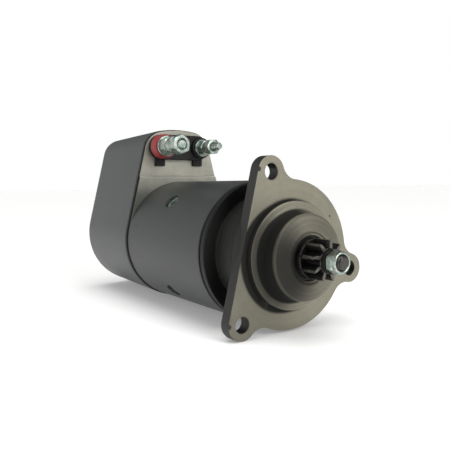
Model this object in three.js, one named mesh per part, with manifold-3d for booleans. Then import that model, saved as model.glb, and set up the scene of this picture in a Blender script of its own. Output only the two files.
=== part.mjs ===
import * as THREE from 'three';
import { mergeVertices } from 'three/addons/utils/BufferGeometryUtils.js';
import Module from 'manifold-3d';

// Heavy-duty coaxial starter motor, in millimetres.
// The origin is the centre of the mounting flange's front face. +X runs along
// the motor's axis towards the pinion, and +Z points up towards the terminals.

const wasm = await Module();
wasm.setup();

// Mounting flange and pilot
const pilotRadius = 46;
const pilotHeight = 6.1;
const flangeRadius = 64;
const flangeThickness = 12;
const boltCircleRadius = 73;
const boltHoleRadius = 6.75;
const lobeRadius = 13.3;
const lobeAngles = [106, 226, -14];
const filletRadius = 15;

// Nose, neck and rim of the drive end housing
const noseRadius = 36.2;
const noseFront = 26.1;
const noseShoulder = 19.1;
const noseBoreRadius = 17.3;
const noseLipRadius = 20.5;
const noseLipDepth = 1.7;
const sealSeatRadius = 18.6;
const sealSeatDepth = 6;
const neckFlare = 1.3;
const flangeBoreRadius = 38;
const flangeBoreDepth = 10;
const spigotLength = 5;
const neckRadius = 50;
const neckBoreRadius = 44;
const rimRadius = 63;
const rimFront = -38.7;
const rimBack = -44.1;

// Pole housing, poles and field coils
const housingRadius = 63.4;
const housingBoreRadius = 57.5;
const housingFront = -46.6;
const housingBack = -187.6;
const poleAngles = [45, 135, 225, 315];
const poleFaceRadius = 39;
const poleFaceThickness = 4.7;
const poleCentre = -105;
const poleLength = 74;
const poleFaceHalfAngle = 32;
const poleNeckHalfAngle = 17;
const coilHalfAngle = 41;
const coilOverhang = 8;
const poleScrewRadius = 5;
const poleScrewHeadRadius = 7.6;
const poleScrewTop = 60.9;
const poleScrewCone = 2.6;
const poleScrewGap = 0.5;
const socketAcrossFlats = 6.4;
const socketDepth = 2.5;
const poleScrewPlace = -125;

// Tear-drop outline shared by the bracket, the gasket and the rear cover
const dropRadius = 64.5;
const dropTopRadius = 121;
const dropCornerRadius = 24;
const dropSideTilt = THREE.MathUtils.degToRad(14.2);
const bracketFront = -187.8;
const bracketPadFront = -190;
const bracketBack = -191.4;
const bracketStepHeight = 69.35;
const bracketInset = 1.3;
const rearRibInset = 8;
const rearRibDepth = 5;
const bracketHubRadius = 19;
const bracketHubDepth = 9;
const bearingSeatRadius = 14;
const gasketThickness = 2.2;
const coverFront = -193.9;
const coverBack = -322.4;
const coverWall = 3;
const coverDraft = 3;
const coverMiddleHeight = 28;
const coverEdgeRadius = 16;
const coverScrewRadius = 3;
const coverScrewCollarRadius = 7;
const coverScrewAcrossFlats = 10;
const coverScrewHeadLength = 4.3;

// Terminals
const insulatorEndRadius = 13.5;
const insulatorEndShift = 2.2;
const insulatorFront = -182.8;
const insulatorTabWidth = 11.6;
const insulatorTabThickness = 3;
const insulatorTabLow = 80.5;
const terminalSleeveRadius = 7.1;
const terminalHoleRadius = 8;
const studInnerEnd = -214;

// Armature, commutator and brushes
const armatureRadius = 38.2;
const slotCount = 12;
const slotDepth = 12;
const slotWidth = 6;
const shaftRadius = 12;
const shaftBoreRadius = 5.6;
const shaftFront = -57;
const shaftBack = -178;
const journalRadius = 9.3;
const journalBack = -199;
const commutatorRadius = 27;
const commutatorFront = -154;
const commutatorBack = -176;
const brushAngles = [0, 90, 180, 270];
const brushLength = 17;
const brushWidth = 11;
const brushDepth = 15;
const holderInner = 31;
const holderOuter = 54;
const holderWall = 1.6;
const brushSpringRadius = 3.4;
const brushSpringWire = 1.1;
const bearingInner = 9.5;
const bearingOuter = 13.8;

// Drive: clutch, spindle and pinion
const clutchRadius = 34;
const clutchFront = -20;
const clutchBack = -56;
const spindleRadius = 13;
const journalEnd = -18;
const splineCount = 10;
const splineRoot = 8.2;
const splineTip = 10;
const splineEnd = -54;
const splineWidth = 2.4;
const pinionSeatRadius = 7.7;
const pinionBoreRadius = 8;
const pinionTeeth = 9;
const pinionModule = 3;
const pinionTipRadius = 16.6;
const pinionRootRadius = 10.3;
const pinionBack = 26.6;
const pinionFront = 45.8;
const pinionToothPhase = -12.5;
const pinionCollarLength = 3.2;
const pinionHubRadius = 10;
const pinionHubFront = 49.5;
const bevelAngle = 58;
const bevelStart = 0.3;
const bevelLength = 4.6;
const bevelThickness = 2.1;
const pinionNutAcrossFlats = 17;
const nutCollarRadius = 8.7;
const nutBack = 49.8;
const nutFront = 59.4;
const spindleThreadRadius = 5.5;
const nutBoreRadius = 5.8;
const spindleEnd = 61.6;
const seamGap = 0.3;

// Solenoid and control relay inside the rear cover
const solenoidRadius = 38;
const solenoidFront = -204;
const solenoidBack = -292;
const plungerRadius = 16;
const rodRadius = 4.5;
const relayRadius = 15;
const relayHeight = 59;
const relayFront = -216;
const relayBack = -266;

const finishes = {
  blackPaint: { color: 0x26282a, roughness: 0.45, metalness: 0.2 },
  greyPaint: { color: 0x5a5c5b, roughness: 0.42, metalness: 0.3 },
  machinedIron: { color: 0x8b857a, roughness: 0.45, metalness: 0.8 },
  castAluminium: { color: 0xa19c90, roughness: 0.5, metalness: 0.8 },
  zinc: { color: 0xc4cac8, roughness: 0.3, metalness: 0.9 },
  darkSteel: { color: 0x3a3b3c, roughness: 0.4, metalness: 0.8 },
  steel: { color: 0x8e9092, roughness: 0.35, metalness: 0.9 },
  copper: { color: 0xb46f42, roughness: 0.35, metalness: 0.9 },
  bronze: { color: 0xa9824a, roughness: 0.4, metalness: 0.8 },
  rubber: { color: 0x17181a, roughness: 0.8, metalness: 0 },
  redPlastic: { color: 0xaf3a38, roughness: 0.5, metalness: 0 },
  blackPlastic: { color: 0x1c1d1f, roughness: 0.55, metalness: 0 },
  carbon: { color: 0x4b4440, roughness: 0.7, metalness: 0.2 },
  coilTape: { color: 0xb9a27c, roughness: 0.8, metalness: 0 },
};

const starter = new THREE.Group();
const groups = {};
for (const name of ['housing', 'terminals', 'armature', 'engaging', 'drive', 'relay']) {
  groups[name] = new THREE.Group();
  starter.add(groups[name]);
}
groups.engaging.add(groups.drive);

// ---- Helpers: solids along the motor's axis ----

function radians(degrees) {
  return THREE.MathUtils.degToRad(degrees);
}

// A closed geometry as a solid that can be joined and cut
function solid(geometry) {
  const bare = geometry.clone();
  bare.deleteAttribute('normal');
  bare.deleteAttribute('uv');
  const merged = mergeVertices(bare, 1e-4);
  const corners = merged.index.array;
  const kept = [];
  for (let i = 0; i < corners.length; i += 3) {
    const [a, b, c] = corners.slice(i, i + 3);
    if (a !== b && b !== c && c !== a) kept.push(a, b, c);
  }
  const vertProperties = new Float32Array(merged.attributes.position.array);
  return new wasm.Manifold(new wasm.Mesh({ numProp: 3, vertProperties, triVerts: new Uint32Array(kept) }));
}

function geometryOf(body) {
  const mesh = body.getMesh();
  const geometry = new THREE.BufferGeometry();
  geometry.setAttribute('position', new THREE.BufferAttribute(mesh.vertProperties, 3));
  geometry.setIndex(new THREE.BufferAttribute(mesh.triVerts, 1));
  return geometry;
}

function add(group, name, body, finish) {
  const geometry = geometryOf(body);
  geometry.computeVertexNormals();
  const material = new THREE.MeshStandardMaterial(finishes[finish]);
  const mesh = new THREE.Mesh(geometry, material);
  mesh.name = name;
  groups[group].add(mesh);
  return mesh;
}

// A turned body: the profile's points are [radius, x], with x rising on the outside
function turned(profile, segments = 24) {
  const points = profile.map(([radius, x]) => new THREE.Vector2(radius, x));
  const geometry = new THREE.LatheGeometry([...points, points[0]], segments);
  geometry.rotateZ(-Math.PI / 2);
  return solid(geometry);
}

function rod(radius, back, front, segments = 24) {
  return turned([[0, back], [radius, back], [radius, front], [0, front]], segments);
}

function sleeve(inner, outer, back, front, segments = 24) {
  return turned([[inner, back], [outer, back], [outer, front], [inner, front]], segments);
}

// An outline in the Y-Z plane, drawn out along X
function drawnOut(shape, back, front, curveSegments = 6) {
  const options = { depth: front - back, bevelEnabled: false, curveSegments };
  const geometry = new THREE.ExtrudeGeometry(shape, options);
  return solid(facingForward(geometry, back));
}

function facingForward(geometry, back) {
  const turn = new THREE.Matrix4().makeBasis(
    new THREE.Vector3(0, 1, 0), new THREE.Vector3(0, 0, 1), new THREE.Vector3(1, 0, 0));
  return geometry.applyMatrix4(turn).translate(back, 0, 0);
}

function block(x, y, z) {
  const [low, high] = [[x[0], y[0], z[0]], [x[1], y[1], z[1]]];
  const size = high.map((value, i) => value - low[i]);
  const geometry = new THREE.BoxGeometry(...size);
  geometry.translate(...high.map((value, i) => (value + low[i]) / 2));
  return solid(geometry);
}

// Turns a body about the motor's axis, by degrees from +Y towards +Z
function aboutAxis(body, degrees) {
  return body.rotate([degrees, 0, 0]);
}

function movedTo(body, y, z) {
  return body.translate([0, y, z]);
}

// A radial cylinder along +Y, from one distance from the axis to another
function radialRod(radius, from, to, x, segments = 18) {
  const geometry = new THREE.CylinderGeometry(radius, radius, to - from, segments);
  geometry.translate(x, (from + to) / 2, 0);
  return solid(geometry);
}

// A turned body on the +Y axis: the profile's points are [radius, distance from the motor's axis]
function radialTurned(profile, x, segments = 20) {
  const points = profile.map(([radius, distance]) => new THREE.Vector2(radius, distance));
  const geometry = new THREE.LatheGeometry([...points, points[0]], segments);
  return solid(geometry.translate(x, 0, 0));
}

function hexShape(acrossFlats, holeRadius = 0) {
  const shape = new THREE.Shape();
  const corner = acrossFlats / 2 / Math.cos(Math.PI / 6);
  for (let i = 0; i < 6; i += 1) {
    const angle = radians(60 * i);
    const point = [corner * Math.cos(angle), corner * Math.sin(angle)];
    if (i === 0) shape.moveTo(...point);
    else shape.lineTo(...point);
  }
  if (holeRadius > 0) shape.holes.push(new THREE.Path().absarc(0, 0, holeRadius, 0, 2 * Math.PI, true));
  return shape;
}

// A hexagonal nut or screw head with its corners turned off at the front
function hexBody(acrossFlats, holeRadius, back, front, turn = 0) {
  const corner = acrossFlats / 2 / Math.cos(Math.PI / 6);
  const chamfer = corner - acrossFlats / 2 + 0.3;
  const prism = drawnOut(hexShape(acrossFlats, holeRadius), back, front, 7);
  const cone = turned([
    [0, back - 1], [corner + 1, back - 1], [corner + 1, front - chamfer],
    [acrossFlats / 2 - 0.3, front], [0, front],
  ], 18);
  return aboutAxis(prism.intersect(cone), turn);
}

// A coil spring with square-sectioned wire, wound about the X axis
function coilSpring(radius, wire, turns, back, front, steps) {
  class Helix extends THREE.Curve {
    getPoint(t) {
      const angle = 2 * Math.PI * turns * t;
      const x = THREE.MathUtils.lerp(back + wire, front - wire, t);
      return new THREE.Vector3(x, radius * Math.cos(angle), radius * Math.sin(angle));
    }
  }
  const section = new THREE.Shape();
  section.moveTo(-wire / 2, -wire / 2);
  section.lineTo(wire / 2, -wire / 2);
  section.lineTo(wire / 2, wire / 2);
  section.lineTo(-wire / 2, wire / 2);
  const options = { steps: Math.round(turns * steps), extrudePath: new Helix() };
  return solid(new THREE.ExtrudeGeometry(section, options));
}

// An outline between two radii and two angles either side of +Y
function sectorShape(inner, outer, halfAngle) {
  const shape = new THREE.Shape();
  shape.absarc(0, 0, outer, -radians(halfAngle), radians(halfAngle), false);
  shape.absarc(0, 0, inner, radians(halfAngle), -radians(halfAngle), true);
  return shape;
}

// ---- Drive end housing ----

// The flange: a disc with three bolt lobes. The lobes at 106 and 226 degrees are
// joined by a straight edge, and the others run into the disc with hollow curves.
function flangeShape() {
  const shape = new THREE.Shape();
  const hollow = flangeRadius + filletRadius;
  const across = lobeRadius + filletRadius;
  const cosine = (boltCircleRadius ** 2 + hollow ** 2 - across ** 2) / (2 * boltCircleRadius * hollow);
  const spread = Math.acos(cosine);
  const [first, second, third] = lobeAngles.map(radians);
  const straight = (first + second) / 2;
  lobeEnd(shape, first, facing(first, first - spread, hollow), straight);
  lobeEnd(shape, second, straight, facing(second, second + spread, hollow));
  hollowCurve(shape, second, second + spread, hollow, false);
  shape.absarc(0, 0, flangeRadius, second + spread, third + 2 * Math.PI - spread, false);
  hollowCurve(shape, third, third - spread, hollow, true);
  lobeEnd(shape, third, facing(third, third - spread, hollow), facing(third, third + spread, hollow));
  hollowCurve(shape, third, third + spread, hollow, false);
  shape.absarc(0, 0, flangeRadius, third + spread, first - spread, false);
  hollowCurve(shape, first, first - spread, hollow, true);
  return shape;
}

function lobeEnd(shape, angle, start, end) {
  const centre = [boltCircleRadius * Math.cos(angle), boltCircleRadius * Math.sin(angle)];
  shape.absarc(...centre, lobeRadius, start, end < start ? end + 2 * Math.PI : end, false);
}

// The direction from a lobe's centre to the centre of its hollow curve
function facing(lobeAngle, angle, hollow) {
  const y = hollow * Math.cos(angle) - boltCircleRadius * Math.cos(lobeAngle);
  const z = hollow * Math.sin(angle) - boltCircleRadius * Math.sin(lobeAngle);
  return Math.atan2(z, y);
}

// The hollow curve between the disc and a lobe, drawn clockwise about a point outside
function hollowCurve(shape, lobeAngle, angle, hollow, fromDisc) {
  const toDisc = angle + Math.PI;
  const toLobe = facing(lobeAngle, angle, hollow) + Math.PI;
  const [start, end] = fromDisc ? [toDisc, toLobe] : [toLobe, toDisc];
  const turn = end > start ? end - 2 * Math.PI : end;
  shape.absarc(hollow * Math.cos(angle), hollow * Math.sin(angle), filletRadius, start, turn, true);
}

function driveEndHousing() {
  const spigot = housingBoreRadius - seamGap;
  const behindFlange = 1 - flangeThickness;
  const body = turned([
    [neckBoreRadius, rimBack - spigotLength], [spigot, rimBack - spigotLength],
    [spigot, rimBack], [rimRadius, rimBack], [rimRadius, rimFront],
    [neckRadius, rimFront], [neckRadius + neckFlare, behindFlange - 2.5],
    [neckRadius + neckFlare + 0.6, behindFlange], [neckRadius, behindFlange],
    [pilotRadius, -1], [pilotRadius, pilotHeight - 0.6],
    [pilotRadius - 0.6, pilotHeight], [noseRadius + 5, pilotHeight],
    [noseRadius + 1.2, pilotHeight + 1.4], [noseRadius, pilotHeight + 5],
    [noseRadius, noseShoulder], [noseRadius - 2, noseShoulder + 4.1], [noseLipRadius + 2.2, noseFront],
    [noseLipRadius + 0.5, noseFront - 0.6], [noseLipRadius, noseFront - noseLipDepth + 0.2],
    [sealSeatRadius, noseFront - noseLipDepth], [sealSeatRadius, noseFront - sealSeatDepth],
    [noseBoreRadius, noseFront - sealSeatDepth], [noseBoreRadius, -flangeBoreDepth],
    [flangeBoreRadius, -flangeBoreDepth], [neckBoreRadius, -flangeThickness - 4],
  ], 36);
  const disc = drawnOut(flangeShape(), -flangeThickness, 0, 5);
  const opening = rod(flangeBoreRadius, -flangeThickness - 1, -flangeBoreDepth, 36);
  const nose = rod(noseBoreRadius, -flangeBoreDepth - 1, 1, 36);
  let flange = disc.subtract(opening).subtract(nose);
  for (const angle of lobeAngles) {
    const hole = movedTo(rod(boltHoleRadius, -flangeThickness - 1, 1, 20), boltCircleRadius, 0);
    flange = flange.subtract(aboutAxis(hole, angle));
  }
  add('housing', 'drive_end_housing', body.add(flange), 'machinedIron');
}

function noseBushAndSeal() {
  const bush = sleeve(spindleRadius + 0.15, noseBoreRadius - 0.1, -9, noseFront - sealSeatDepth - seamGap, 32);
  add('housing', 'nose_bush', bush, 'bronze');
  const seal = turned([
    [spindleRadius + seamGap, noseFront - sealSeatDepth + 0.1],
    [sealSeatRadius - 0.1, noseFront - sealSeatDepth + 0.1],
    [sealSeatRadius - 0.1, noseFront - 2.7], [sealSeatRadius - 2, noseFront - 2.7],
    [spindleRadius + seamGap, noseFront - 3.7],
  ]);
  add('housing', 'shaft_seal', seal, 'rubber');
}

// ---- Pole housing, pole shoes, field coils and pole screws ----

function poleHousing() {
  let tube = turned([
    [housingBoreRadius, housingBack], [housingRadius, housingBack],
    [housingRadius, housingFront - 0.8], [housingRadius - 0.8, housingFront],
    [housingBoreRadius, housingFront],
  ], 40);
  for (const angle of poleAngles) {
    const [narrow, wide] = [poleScrewRadius + poleScrewGap, poleScrewHeadRadius + poleScrewGap];
    const seatTop = poleScrewTop - poleScrewGap;
    const seat = radialTurned([
      [0, housingBoreRadius - 5], [narrow, housingBoreRadius - 5], [narrow, seatTop - poleScrewCone],
      [wide, seatTop], [wide, housingRadius + 5], [0, housingRadius + 5],
    ], poleScrewPlace);
    tube = tube.subtract(aboutAxis(seat, angle));
  }
  add('housing', 'pole_housing', tube, 'greyPaint');
}

function poleShoe(angle, name) {
  const [back, front] = [poleCentre - poleLength / 2, poleCentre + poleLength / 2];
  const seat = housingBoreRadius - seamGap;
  const faceTop = poleFaceRadius + poleFaceThickness;
  const face = drawnOut(sectorShape(poleFaceRadius, faceTop, poleFaceHalfAngle), back, front, 5);
  const neck = drawnOut(sectorShape(faceTop - 1, seat, poleNeckHalfAngle), back, front, 4);
  const threadedHole = radialRod(poleScrewRadius + 0.2, faceTop, 70, poleScrewPlace, 16);
  add('housing', name, aboutAxis(face.add(neck).subtract(threadedHole), angle), 'steel');
}

function fieldCoil(angle, name) {
  const [back, front] = [poleCentre - poleLength / 2, poleCentre + poleLength / 2];
  const inner = poleFaceRadius + poleFaceThickness + 0.5;
  const outer = housingBoreRadius - 0.8;
  const full = sectorShape(inner, outer, coilHalfAngle);
  const ring = drawnOut(full, back - coilOverhang, front + coilOverhang, 5);
  const opening = sectorShape(inner - 2, outer + 2, poleNeckHalfAngle + 1.2);
  const window = drawnOut(opening, back - 0.4, front + 0.4, 4);
  add('housing', name, aboutAxis(ring.subtract(window), angle), 'copper');
}

// A countersunk socket screw that draws a pole shoe up against the housing
function poleScrew(angle, name) {
  const coneTop = poleScrewTop - 0.4;
  const screw = radialTurned([
    [0, poleFaceRadius + poleFaceThickness + 1], [poleScrewRadius, poleFaceRadius + poleFaceThickness + 1],
    [poleScrewRadius, coneTop - poleScrewCone], [poleScrewHeadRadius, coneTop],
    [poleScrewHeadRadius, poleScrewTop], [0, poleScrewTop],
  ], poleScrewPlace);
  const hexagon = drawnOut(hexShape(socketAcrossFlats), poleScrewTop - socketDepth, poleScrewTop + 1);
  const socket = hexagon.rotate([0, 0, 90]).translate([poleScrewPlace, 0, 0]);
  add('housing', name, aboutAxis(screw.subtract(socket), angle), 'zinc');
}

// ---- Commutator end bracket, gasket and rear cover ----

// A round lower part, straight leaning sides, rounded corners and a broad arc on top
function dropShape(inset) {
  const radius = dropRadius - inset;
  const top = dropTopRadius - inset;
  const corner = dropCornerRadius - inset;
  const along = Math.sqrt((top - corner) ** 2 - (radius - corner) ** 2);
  const [cosine, sine] = [Math.cos(dropSideTilt), Math.sin(dropSideTilt)];
  const cornerY = (radius - corner) * cosine - along * sine;
  const cornerZ = (radius - corner) * sine + along * cosine;
  const lean = Math.atan2(cornerZ, cornerY);
  const shape = new THREE.Shape();
  shape.absarc(0, 0, radius, Math.PI - dropSideTilt, 2 * Math.PI + dropSideTilt, false);
  shape.absarc(cornerY, cornerZ, corner, dropSideTilt, lean, false);
  shape.absarc(0, 0, top, lean, Math.PI - lean, false);
  shape.absarc(-cornerY, cornerZ, corner, Math.PI - lean, Math.PI - dropSideTilt, false);
  return shape;
}

const terminals = [
  {
    name: 'positive', y: -25, z: 101, studRadius: 4.8, studFront: -136, nutAcrossFlats: 18, nutTurn: 25,
    collar: 'redPlastic', collarRadius: 12.8, collarLength: 11.1, washerRadius: 11, washerThickness: 2.7,
    innerNutLength: 10.3, springWasherThickness: 3.4, outerNutLength: 18.2, outerNutFoot: 8, tabShift: 0.8,
  },
  {
    name: 'negative', y: 23.7, z: 100.6, studRadius: 4, studFront: -142.2, nutAcrossFlats: 15, nutTurn: 2,
    collar: 'blackPlastic', collarRadius: 11.6, collarLength: 4.3, washerRadius: 9.4, washerThickness: 2.2,
    innerNutLength: 9.6, springWasherThickness: 4.2, outerNutLength: 9.2, outerNutFoot: 0, tabShift: -0.7,
  },
];
const coverScrews = [{ z: -48 }, { z: 93 }];

function commutatorEndBracket() {
  const plate = drawnOut(dropShape(bracketInset), bracketBack, bracketPadFront);
  const raised = drawnOut(dropShape(bracketInset), bracketPadFront - 0.5, bracketFront);
  const through = [bracketBack - rearRibDepth - 1, bracketFront + 1];
  const across = [-dropRadius, dropRadius];
  const belowStep = block(through, across, [-dropRadius, bracketStepHeight]);
  const rearRib = drawnOut(dropShape(rearRibInset), bracketBack - rearRibDepth, bracketBack + 0.5);
  const hub = rod(bracketHubRadius, bracketBack - bracketHubDepth, bracketBack);
  const bearingSeat = rod(bearingSeatRadius, bracketBack - bracketHubDepth - 1, bracketFront + 1);
  let body = plate.add(raised.intersect(belowStep)).add(rearRib).add(hub).subtract(bearingSeat);
  for (const { y, z } of terminals) {
    body = body.subtract(movedTo(rod(terminalHoleRadius, ...through, 24), y, z));
  }
  for (const { z } of coverScrews) {
    body = body.subtract(movedTo(rod(coverScrewRadius + 0.3, through[0], bracketPadFront - 0.5, 16), 0, z));
  }
  add('housing', 'commutator_end_bracket', body, 'castAluminium');
}

function coverGasket() {
  const shape = dropShape(0);
  shape.holes.push(dropShape(6));
  const ring = drawnOut(shape, bracketBack - 0.05 - gasketThickness, bracketBack - 0.05);
  add('housing', 'cover_gasket', ring, 'rubber');
}

// Leans every side of a drop-shaped block inwards towards its back
function drafted(geometry) {
  const halfHeight = dropTopRadius - coverMiddleHeight;
  const place = geometry.attributes.position;
  for (let i = 0; i < place.count; i += 1) {
    const inset = (coverDraft * (coverFront - place.getX(i))) / (coverFront - coverBack);
    const height = place.getZ(i) - coverMiddleHeight;
    place.setY(i, place.getY(i) * (1 - inset / dropRadius));
    place.setZ(i, coverMiddleHeight + height * (1 - inset / halfHeight));
  }
  return geometry;
}

// A drop-shaped block whose back edge is rounded
function roundedDrop(inset, back, front, edge) {
  const options = {
    depth: front - back, bevelEnabled: true, bevelThickness: edge, bevelSize: edge, bevelOffset: -edge,
    bevelSegments: 3, curveSegments: 6,
  };
  const geometry = new THREE.ExtrudeGeometry(dropShape(inset), options);
  const body = solid(drafted(facingForward(geometry, back + edge)));
  return body.intersect(block([back - 1, front], [-90, 90], [-90, 140]));
}

function rearCover() {
  const outside = roundedDrop(0, coverBack, coverFront, coverEdgeRadius);
  const inside = roundedDrop(coverWall, coverBack + coverWall, coverFront + 5, coverEdgeRadius - coverWall);
  let shell = outside.subtract(inside);
  for (const { z } of coverScrews) {
    shell = shell.subtract(movedTo(rod(coverScrewRadius + 0.4, coverBack - 1, coverBack + 9, 20), 0, z));
  }
  add('housing', 'rear_cover', shell, 'greyPaint');
}

// Long hexagon-headed screws that hold the cover to the bracket
function coverScrew({ z }, name) {
  const collarBack = coverBack - 1.8;
  const head = hexBody(coverScrewAcrossFlats, 0, 0, coverScrewHeadLength, 30).rotate([0, 0, 180]);
  const flipped = head.translate([collarBack + 0.1, 0, 0]);
  const collar = rod(coverScrewCollarRadius, collarBack, coverBack - 0.1, 24);
  const shank = rod(coverScrewRadius, collarBack, bracketBack - 3.5, 16);
  add('housing', name, movedTo(flipped.add(collar).add(shank), 0, z), 'zinc');
}

// ---- Terminals ----

function terminalInsulator() {
  const [first, second] = terminals;
  const shape = new THREE.Shape();
  shape.absarc(first.y + insulatorEndShift, first.z, insulatorEndRadius, Math.PI / 2, (3 * Math.PI) / 2, false);
  shape.absarc(second.y - insulatorEndShift, second.z, insulatorEndRadius, -Math.PI / 2, Math.PI / 2, false);
  const back = bracketPadFront + 0.1;
  let body = drawnOut(shape, back, insulatorFront, 6);
  for (const { y, tabShift } of terminals) {
    const middle = y + tabShift;
    const across = [middle - insulatorTabWidth / 2, middle + insulatorTabWidth / 2];
    body = body.add(block([back, back + insulatorTabThickness], across, [insulatorTabLow, first.z]));
  }
  for (const { y, z } of terminals) {
    body = body.subtract(movedTo(rod(terminalSleeveRadius + 0.3, back - 1, insulatorFront + 1, 20), y, z));
  }
  add('terminals', 'terminal_insulator', body, 'blackPlastic');
}

// From the insulator outwards: collar, washer, inner nut, spring washer and outer nut
function terminal(kind) {
  const { name, y, z, studRadius, nutAcrossFlats, nutTurn } = kind;
  const place = (part, body, finish) => add('terminals', `${name}_${part}`, movedTo(body, y, z), finish);
  const inner = studRadius + 0.2;
  let x = insulatorFront + 0.1;
  const stack = (thickness) => {
    const back = x;
    x += thickness;
    return [back, x - 0.1];
  };
  place('stud', rod(studRadius, studInnerEnd, kind.studFront, 20), 'zinc');
  const [collarBack, collarFront] = stack(kind.collarLength);
  const sleeveBack = bracketPadFront - 6;
  place('collar', turned([
    [inner, sleeveBack], [terminalSleeveRadius, sleeveBack], [terminalSleeveRadius, collarBack],
    [kind.collarRadius, collarBack], [kind.collarRadius, collarFront - 0.8],
    [kind.collarRadius - 0.8, collarFront], [inner, collarFront],
  ], 24), kind.collar);
  place('washer', sleeve(inner, kind.washerRadius, ...stack(kind.washerThickness), 24), 'zinc');
  const innerNut = hexBody(nutAcrossFlats, inner, ...stack(kind.innerNutLength), nutTurn - 4);
  place('inner_nut', innerNut, 'zinc');
  const lock = springWasher(inner, nutAcrossFlats / 2 - 0.5, ...stack(kind.springWasherThickness));
  place('spring_washer', lock, 'zinc');
  place('outer_nut', outerNut(kind, inner, ...stack(kind.outerNutLength)), 'zinc');
}

// The positive terminal's outer nut stands on a round foot with a groove above it
function outerNut({ nutAcrossFlats, nutTurn, outerNutFoot }, inner, back, front) {
  const hexagon = hexBody(nutAcrossFlats, inner, back + outerNutFoot, front, nutTurn);
  if (outerNutFoot === 0) return hexagon;
  const foot = sleeve(inner, nutAcrossFlats / 2 + 0.2, back, back + outerNutFoot / 2, 24);
  const groove = sleeve(inner, nutAcrossFlats / 2 - 0.9, back + 1, back + outerNutFoot + 1, 24);
  return hexagon.add(foot).add(groove);
}

function springWasher(inner, outer, back, front) {
  const ring = sleeve(inner, outer, back, front, 20);
  const split = block([back - 1, front + 1], [-0.6, 0.6], [0, outer + 1]);
  return ring.subtract(split);
}

// ---- Armature, commutator, brushes and bearing ----

function slotBars(width, inner, outer, back, front) {
  let bars = null;
  for (let i = 0; i < slotCount; i += 1) {
    const bar = block([back, front], [inner, outer], [-width / 2, width / 2]);
    const placed = aboutAxis(bar, (360 * i) / slotCount);
    bars = bars ? bars.add(placed) : placed;
  }
  return bars;
}

function armature() {
  const [back, front] = [poleCentre - poleLength / 2 + 2, poleCentre + poleLength / 2 - 2];
  const slotBottom = armatureRadius - slotDepth;
  const shaft = sleeve(shaftBoreRadius, shaftRadius, shaftBack, shaftFront, 24);
  const journal = sleeve(shaftBoreRadius, journalRadius, journalBack, shaftBack + 0.5, 24);
  add('armature', 'armature_shaft', shaft.add(journal), 'steel');
  const core = sleeve(shaftRadius + 0.1, armatureRadius, back, front, 48);
  const cut = slotBars(slotWidth, slotBottom, armatureRadius + 1, back - 1, front + 1);
  add('armature', 'armature_core', core.subtract(cut), 'steel');
  const bars = slotBars(slotWidth - 1, slotBottom + 0.4, armatureRadius - 1.5, back - 1, front + 1);
  const rearTurns = sleeve(slotBottom - 4, armatureRadius - 1.5, back - 12, back - 0.5, 32);
  const frontTurns = sleeve(slotBottom - 4, armatureRadius - 1.5, front + 0.5, front + 9, 32);
  add('armature', 'armature_winding', bars.add(rearTurns).add(frontTurns), 'copper');
}

function commutator() {
  const riser = sleeve(shaftRadius + 0.1, commutatorRadius + 2, commutatorFront - 2, commutatorFront, 32);
  const body = sleeve(shaftRadius + 0.1, commutatorRadius, commutatorBack, commutatorFront - 1, 32);
  add('armature', 'commutator', body.add(riser), 'copper');
}

const brushMiddle = (commutatorFront - 3 + commutatorBack) / 2;
const brushInner = commutatorRadius + 0.15;
const brushOuter = brushInner + brushLength;

function brushHolder() {
  let body = sleeve(holderInner, holderOuter, commutatorBack - 4, commutatorBack - 1.5, 32);
  for (const angle of brushAngles) {
    const [halfX, halfZ] = [brushDepth / 2 + 0.3, brushWidth / 2 + 0.3];
    const x = [brushMiddle - halfX, brushMiddle + halfX];
    const outer = block(
      [commutatorBack - 2, x[1] + holderWall], [holderInner, holderOuter],
      [-halfZ - holderWall, halfZ + holderWall]);
    const inner = block(x, [holderInner - 2, holderOuter - holderWall], [-halfZ, halfZ]);
    body = body.add(aboutAxis(outer, angle)).subtract(aboutAxis(inner, angle));
  }
  add('housing', 'brush_holder', body, 'bronze');
}

function brushAndSpring(angle, number) {
  const x = [brushMiddle - brushDepth / 2, brushMiddle + brushDepth / 2];
  const brush = block(x, [brushInner, brushOuter], [-brushWidth / 2, brushWidth / 2]);
  const touching = rod(brushInner, x[0] - 1, x[1] + 1, 48);
  add('housing', `brush_${number}`, aboutAxis(brush.subtract(touching), angle), 'carbon');
  const springEnd = holderOuter - holderWall - 0.2;
  const wound = coilSpring(brushSpringRadius, brushSpringWire, 3, brushOuter + 0.2, springEnd, 8);
  const upright = wound.rotate([0, 0, 90]).translate([brushMiddle, 0, 0]);
  add('housing', `brush_spring_${number}`, aboutAxis(upright, angle), 'steel');
}

function rearBearing() {
  const bearing = sleeve(bearingInner, bearingOuter, bracketBack - bracketHubDepth + 1, bracketFront - 0.4, 24);
  add('housing', 'commutator_end_bearing', bearing, 'bronze');
}

// ---- Clutch, spindle and pinion ----

function clutchDrum() {
  const drum = turned([
    [spindleRadius - 2.6, clutchBack], [clutchRadius - 3, clutchBack], [clutchRadius, clutchBack + 3],
    [clutchRadius, clutchFront - 3], [clutchRadius - 3, clutchFront], [spindleRadius - 2.6, clutchFront],
  ]);
  add('armature', 'clutch_drum', drum, 'steel');
}

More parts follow.
